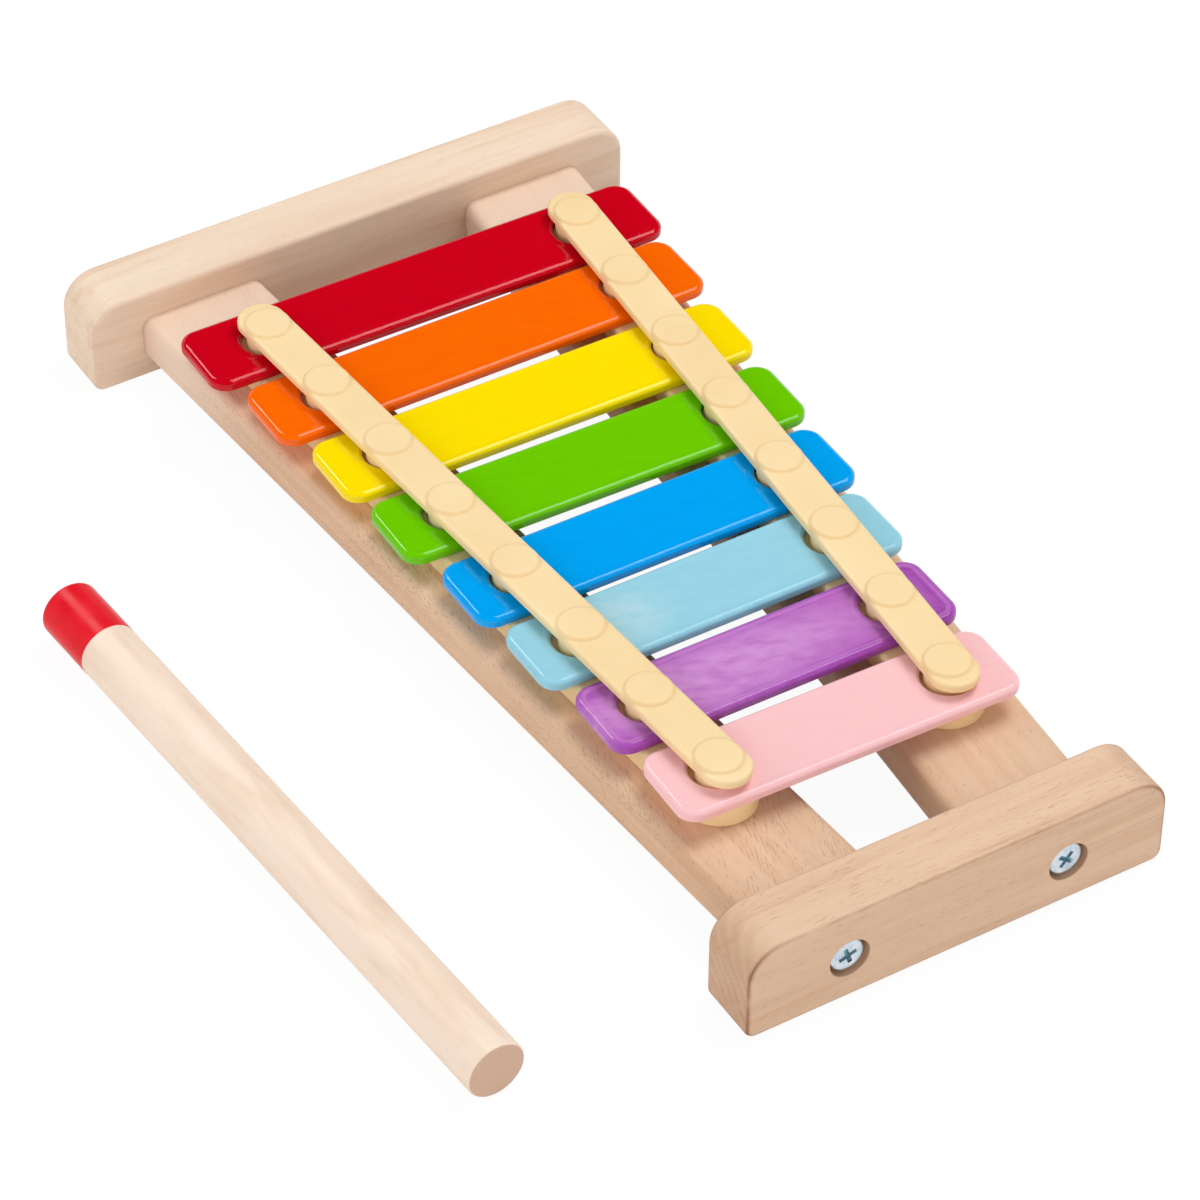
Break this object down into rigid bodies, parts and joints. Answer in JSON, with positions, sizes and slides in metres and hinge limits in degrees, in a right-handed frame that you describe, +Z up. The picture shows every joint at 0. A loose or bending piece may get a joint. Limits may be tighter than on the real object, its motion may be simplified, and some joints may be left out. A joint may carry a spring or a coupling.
{
  "type": "toy xylophone",
  "caption": "Tapered wooden toy xylophone: painted metal bars held by cream plastic straps on beech rails between end blocks, with a loose dowel beater beside it.",
  "frame": {"origin": "centre of the far end block's sole, on the floor", "axes": "+Z up, +X along the instrument from the far (longer) end block to the near one, +Y across it to the right as seen from the near end block"},
  "size_m": [0.308, 0.2215, 0.034],
  "materials": {
    "beech": "sanded, clear matt lacquer",
    "beater_wood": "sanded, clear matt lacquer",
    "cream_plastic": "satin moulded plastic",
    "zinc": "bright zinc plating",
    "red_paint": "gloss paint on steel",
    "orange_paint": "gloss paint on steel",
    "yellow_paint": "gloss paint on steel",
    "green_paint": "gloss paint on steel",
    "blue_paint": "gloss paint on steel",
    "light_blue_paint": "gloss paint on steel",
    "purple_paint": "gloss paint on steel",
    "pink_paint": "gloss paint on steel",
    "beater_red_paint": "dipped gloss paint on the end of the wooden beater"
  },
  "bodies": {
    "frame": {"far_end_block": "beech", "near_end_block": "beech", "left_rail": "beech", "right_rail": "beech", "far_block_left_screw": "zinc", "far_block_right_screw": "zinc", "near_block_left_screw": "zinc", "near_block_right_screw": "zinc", "left_cushion_strap": "cream_plastic", "right_cushion_strap": "cream_plastic", "left_top_strap": "cream_plastic", "right_top_strap": "cream_plastic", "left_strap_screw_1": "zinc", "left_strap_screw_2": "zinc", "left_strap_screw_3": "zinc", "left_strap_screw_4": "zinc", "right_strap_screw_1": "zinc", "right_strap_screw_2": "zinc", "right_strap_screw_3": "zinc", "right_strap_screw_4": "zinc"},
    "red_bar": {"red_bar": "red_paint"},
    "orange_bar": {"orange_bar": "orange_paint"},
    "yellow_bar": {"yellow_bar": "yellow_paint"},
    "green_bar": {"green_bar": "green_paint"},
    "blue_bar": {"blue_bar": "blue_paint"},
    "light_blue_bar": {"light_blue_bar": "light_blue_paint"},
    "purple_bar": {"purple_bar": "purple_paint"},
    "pink_bar": {"pink_bar": "pink_paint"},
    "beater": {"beater": "beater_wood"}
  },
  "joints": [
    {"name": "red_bar_float", "type": "slide", "parent": "frame", "child": "red_bar", "axis": [0, 0, 1], "range_m": [0, 0.0018]},
    {"name": "orange_bar_float", "type": "slide", "parent": "frame", "child": "orange_bar", "axis": [0, 0, 1], "range_m": [0, 0.0018]},
    {"name": "yellow_bar_float", "type": "slide", "parent": "frame", "child": "yellow_bar", "axis": [0, 0, 1], "range_m": [0, 0.0018]},
    {"name": "green_bar_float", "type": "slide", "parent": "frame", "child": "green_bar", "axis": [0, 0, 1], "range_m": [0, 0.0018]},
    {"name": "blue_bar_float", "type": "slide", "parent": "frame", "child": "blue_bar", "axis": [0, 0, 1], "range_m": [0, 0.0018]},
    {"name": "light_blue_bar_float", "type": "slide", "parent": "frame", "child": "light_blue_bar", "axis": [0, 0, 1], "range_m": [0, 0.0018]},
    {"name": "purple_bar_float", "type": "slide", "parent": "frame", "child": "purple_bar", "axis": [0, 0, 1], "range_m": [0, 0.0018]},
    {"name": "pink_bar_float", "type": "slide", "parent": "frame", "child": "pink_bar", "axis": [0, 0, 1], "range_m": [0, 0.0018]},
    {"name": "beater_lift", "type": "slide", "parent": "frame", "child": "beater", "axis": [0, 0, 1], "range_m": [0, 0.15]}
  ]
}
